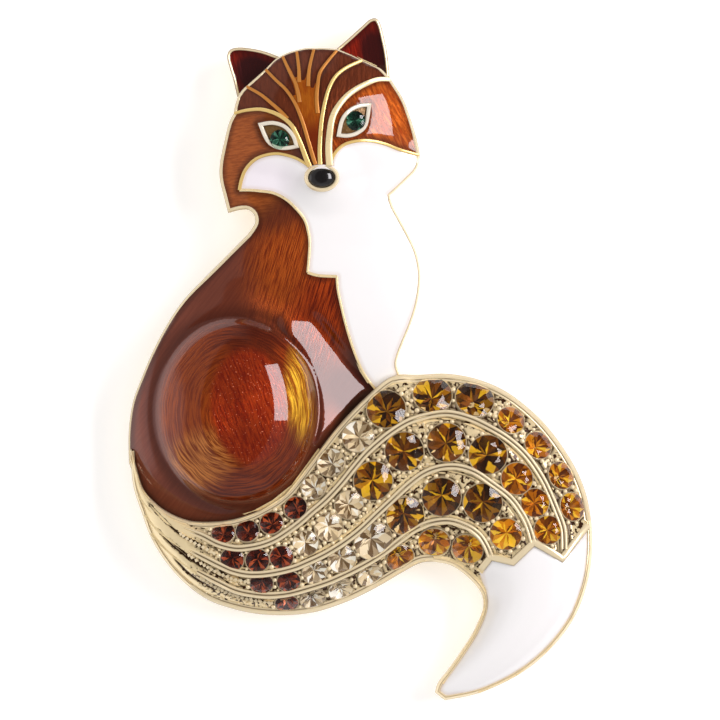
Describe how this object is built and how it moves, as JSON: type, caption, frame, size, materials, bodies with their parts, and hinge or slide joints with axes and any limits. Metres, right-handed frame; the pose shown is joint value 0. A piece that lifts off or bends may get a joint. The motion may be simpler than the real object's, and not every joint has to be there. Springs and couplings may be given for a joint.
{
  "type": "fox brooch",
  "caption": "Sitting fox brooch: cast and gold plated metal with brown and white enamel, a curled tail set with cut stones, and a pin across its back",
  "frame": {"origin": "Under the middle of the brooch's bounding box, on the surface that it lies on, at the lowest point of the pin", "axes": "+Y is the brooch's top, from the tail's end to the ears; +Z is its front, away from the wearer; +X is to the right as seen from the front"},
  "size_m": [0.0461, 0.0678, 0.0101],
  "materials": {
    "gold_plate": "pale gold plating on a zinc alloy casting, polished, finely grooved at the tail",
    "pin_metal": "steel pin, bar and catch, gold washed",
    "brown_enamel": "translucent brown enamel over engraved fur strokes",
    "stripe_enamel": "translucent dark brown enamel over engraved strokes",
    "amber_enamel": "translucent amber enamel",
    "wine_enamel": "translucent wine red enamel",
    "white_enamel": "opaque white enamel, glossy",
    "black_enamel": "opaque black, domed and glossy",
    "green_stone": "cut green glass with foil behind",
    "topaz_stone": "cut topaz yellow glass with foil behind",
    "champagne_stone": "cut champagne glass with foil behind",
    "garnet_stone": "cut garnet red glass with foil behind"
  },
  "bodies": {
    "root": {"casting": "gold_plate", "pin_back": "pin_metal", "brown_coat": "brown_enamel", "cheek_right": "brown_enamel", "nose_bridge": "amber_enamel", "white_front": "white_enamel", "tail_tip": "white_enamel", "brow_stripe_1": "stripe_enamel", "brow_stripe_2": "stripe_enamel", "brow_stripe_3": "stripe_enamel", "brow_stripe_4": "stripe_enamel", "brow_stripe_5": "stripe_enamel", "brow_stripe_6": "stripe_enamel", "brow_stripe_7": "stripe_enamel", "brow_stripe_8": "stripe_enamel", "ear_left": "wine_enamel", "ear_right": "wine_enamel", "nose": "black_enamel", "eye_left": "green_stone", "eye_right": "green_stone", "champagne_stones": "champagne_stone", "garnet_stones": "garnet_stone", "topaz_1": "topaz_stone", "topaz_2": "topaz_stone", "topaz_3": "topaz_stone", "topaz_4": "topaz_stone", "topaz_5": "topaz_stone", "topaz_6": "topaz_stone", "topaz_7": "topaz_stone", "topaz_8": "topaz_stone", "topaz_9": "topaz_stone", "topaz_10": "topaz_stone", "topaz_11": "topaz_stone", "topaz_12": "topaz_stone", "topaz_13": "topaz_stone", "topaz_14": "topaz_stone", "topaz_15": "topaz_stone", "topaz_16": "topaz_stone", "topaz_17": "topaz_stone", "topaz_18": "topaz_stone", "topaz_19": "topaz_stone", "topaz_20": "topaz_stone", "topaz_21": "topaz_stone"}
  },
  "joints": []
}
